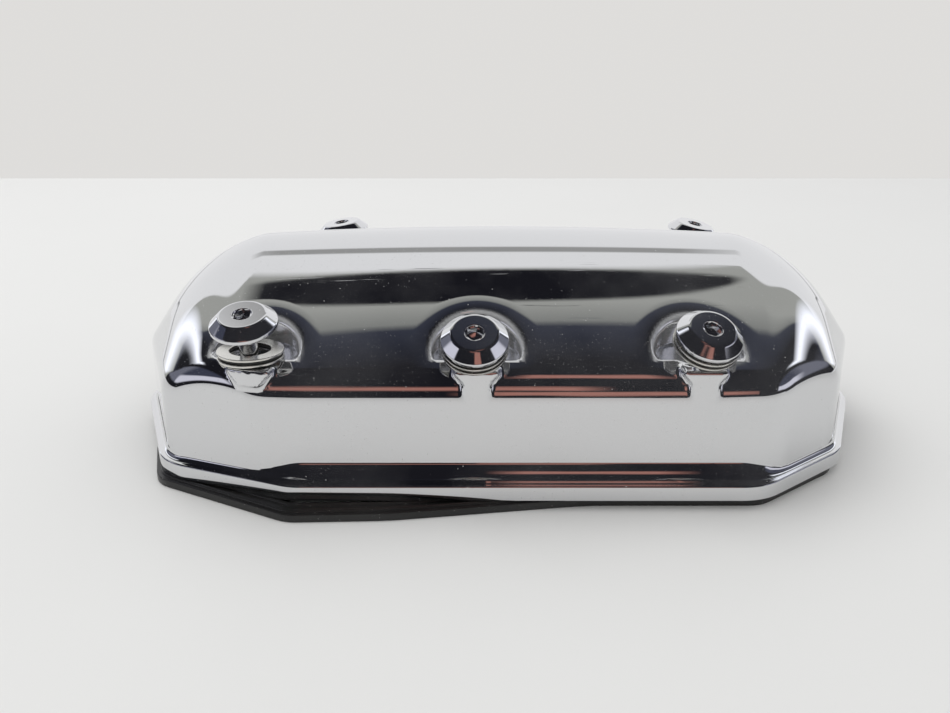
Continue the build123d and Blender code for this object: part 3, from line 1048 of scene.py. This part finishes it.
room = {   # what the chrome mirrors; directions in degrees, 0 the horizon behind the camera, 90 overhead
    "white": (0.90, 0.90, 0.91, 1),
    "softGrey": (0.37, 0.37, 0.365, 1),
    "olive": (0.41, 0.415, 0.39, 1),
    "oliveLow": (0.24, 0.245, 0.235, 1),
    "dark": (0.012, 0.012, 0.016, 1),
    "blueDark": (0.042, 0.046, 0.066, 1),
    "sideGrey": (0.17, 0.175, 0.22, 1),
    "sideDark": (0.05, 0.055, 0.085, 1),
    "sideLow": (0.72, 0.72, 0.82, 1),
    "window": (1.35, 1.38, 1.5, 1),
    "warm": (0.42, 0.19, 0.155, 1),
    # limits at the middle, then how they rise with the sideways direction to the powers 2, 4 and 6
    "wallTop": (102.6, 50.0, 0.0, 130.0),
    "ceiling": (110.5, 32.0, 150.0),
    "patchLow": (105.8, 50.0, 250.0),
    "patchHigh": (110.5, 32.0),
    "patchMiddle": 0.02,
    "patchHalf": (0.28, 0.305),
    "greyHalf": (0.24, 0.34),
    "sideStart": (0.765, 0.80),
    # bands: from, to and softness; each streak upwards and then sideways
    "greyBand": (123.0, 130.2, 1.0),
    "windowAcross": (0.72, 0.775, 0.02),
    "windowUp": (0.05, 0.70, 0.03),
    "streaks": (((27.0, 38.0, 2.5), (-0.22, 0.12, 0.02)),
                ((12.0, 22.0, 2.0), (0.0, 0.28, 0.03)),
                ((66.0, 78.0, 2.5), (0.03, 0.20, 0.02))),
}


def band(tree, value, low, high, soft):
    a = rangeNode(tree, value, low - soft, low + soft, 0.0, 1.0)
    b = rangeNode(tree, value, high - soft, high + soft, 1.0, 0.0)
    return mathNode(tree, "MULTIPLY", a, b)


def buildWorld():
    world = bpy.data.worlds.new("studio")
    scene.world = world
    world.use_nodes = True
    tree = world.node_tree
    tree.nodes.clear()
    out = addNode(tree, "ShaderNodeOutputWorld")
    background = addNode(tree, "ShaderNodeBackground")
    link(tree, background.outputs[0], out.inputs[0])
    coords = addNode(tree, "ShaderNodeTexCoord")
    split = addNode(tree, "ShaderNodeSeparateXYZ")
    link(tree, coords.outputs["Generated"], split.inputs[0])
    x, y, z = split.outputs
    turn = mathNode(tree, "ARCTAN2", z, mathNode(tree, "MULTIPLY", y, -1.0))
    turn = mathNode(tree, "MULTIPLY", turn, 180 / math.pi)
    aside = mathNode(tree, "ABSOLUTE", x)
    x2 = mathNode(tree, "MULTIPLY", x, x)
    x4 = mathNode(tree, "MULTIPLY", x2, x2)
    x6 = mathNode(tree, "MULTIPLY", x4, x2)

    # how far a direction lies above a limit that rises towards the sides
    def above(limit, *terms):
        out = mathNode(tree, "SUBTRACT", turn, limit)
        for power, factor in zip((x2, x4, x6), terms):
            if factor:
                out = mathNode(tree, "SUBTRACT", out, mathNode(tree, "MULTIPLY", power, factor))
        return out

    overEnd = above(*room["wallTop"])
    colour = mixColour(tree, rangeNode(tree, overEnd, -5.0, -0.6, 0.0, 1.0), room["dark"], room["blueDark"])
    olive = mixColour(tree, rangeNode(tree, overEnd, 0.0, 3.0, 0.0, 1.0), room["oliveLow"], room["olive"])
    colour = mixColour(tree, rangeNode(tree, overEnd, -0.4, 0.4, 0.0, 1.0), colour, olive)
    white = rangeNode(tree, above(*room["ceiling"]), -0.2, 0.5, 0.0, 1.0)
    colour = mixColour(tree, white, colour, room["white"])
    # the long dark patch in the ceiling
    patch = mathNode(tree, "MULTIPLY", rangeNode(tree, above(*room["patchLow"]), -0.25, 0.25, 0.0, 1.0),
                     rangeNode(tree, above(*room["patchHigh"]), -0.2, 0.25, 1.0, 0.0))
    offMiddle = mathNode(tree, "ABSOLUTE", mathNode(tree, "SUBTRACT", x, room["patchMiddle"]))
    patch = mathNode(tree, "MULTIPLY", patch, rangeNode(tree, offMiddle, *room["patchHalf"], 1.0, 0.0))
    colour = mixColour(tree, patch, colour, room["dark"])
    # a grey band higher up
    fade = rangeNode(tree, aside, *room["greyHalf"], 1.0, 0.0)
    grey = mathNode(tree, "MULTIPLY", band(tree, above(0.0, 70.0), *room["greyBand"]), fade)
    colour = mixColour(tree, grey, colour, room["softGrey"])
    # warm streaks low down in front
    ripple = addNode(tree, "ShaderNodeTexNoise", {"Scale": 7.0, "Detail": 3.0})
    link(tree, coords.outputs["Generated"], ripple.inputs["Vector"])
    wavy = mathNode(tree, "ADD", turn, mathNode(tree, "MULTIPLY", ripple.outputs[0], 10.0))
    warm = 0.0
    for upwards, sideways in room["streaks"]:
        streak = mathNode(tree, "MULTIPLY", band(tree, wavy, *upwards), band(tree, x, *sideways))
        warm = mathNode(tree, "MAXIMUM", warm, streak)
    colour = mixColour(tree, warm, colour, room["warm"])
    # the room's dim sides, each with a tall window
    lateral = rangeNode(tree, turn, 98.0, 118.0, 0.0, 1.0)
    sideTone = mixColour(tree, rangeNode(tree, z, 0.33, 0.38, 0.0, 1.0),
                         mixColour(tree, lateral, room["sideLow"], room["sideGrey"]),
                         mixColour(tree, lateral, room["sideDark"], room["sideGrey"]))
    side = mathNode(tree, "MULTIPLY", rangeNode(tree, aside, *room["sideStart"], 0.0, 1.0),
                    rangeNode(tree, z, 0.12, 0.18, 0.0, 1.0))
    colour = mixColour(tree, side, colour, sideTone)
    tall = mathNode(tree, "ADD", aside, mathNode(tree, "MULTIPLY", z, 0.12))
    window = mathNode(tree, "MULTIPLY", band(tree, tall, *room["windowAcross"]),
                      band(tree, z, *room["windowUp"]))
    window = mathNode(tree, "MULTIPLY", window, rangeNode(tree, turn, 98.0, 110.0, 0.0, 1.0))
    colour = mixColour(tree, window, colour, room["window"])
    colour = mixColour(tree, rangeNode(tree, z, -0.02, 0.0, 1.0, 0.0), colour, room["white"])
    path = addNode(tree, "ShaderNodeLightPath")
    even = (studio["worldDiffuse"],) * 3 + (1,)
    plain = mixColour(tree, path.outputs["Is Camera Ray"], even, studio["backdrop"])
    link(tree, mixColour(tree, path.outputs["Is Glossy Ray"], plain, colour), background.inputs[0])


buildWorld()


def areaLamp(name, place, target, size, power):
    data = bpy.data.lights.new(name, "AREA")
    data.energy = power
    data.size = size
    lamp = bpy.data.objects.new(name, data)
    scene.collection.objects.link(lamp)
    lamp.location = place
    lamp.rotation_euler = (Vector(target) - Vector(place)).to_track_quat("-Z", "Y").to_euler()
    lamp.visible_glossy = False


areaLamp("softLamp", (-0.5, 0.35, 1.2), (0, 0, 0), 0.9, studio["lampPower"])

lensView = {"place": (-0.009, -0.358, 0.155), "tilt": 70.0, "focal": 1000 / 950 * 36}
cameraData = bpy.data.cameras.new("camera")
cameraData.lens = lensView["focal"]
cameraData.sensor_width = 36
cameraData.sensor_fit = "HORIZONTAL"
cameraData.clip_start = 0.01
camera = bpy.data.objects.new("camera", cameraData)
scene.collection.objects.link(camera)
camera.location = lensView["place"]
camera.rotation_euler = (math.radians(lensView["tilt"]), 0, 0)
scene.camera = camera
scene.view_settings.view_transform = "Standard"
print("stage and camera ready")
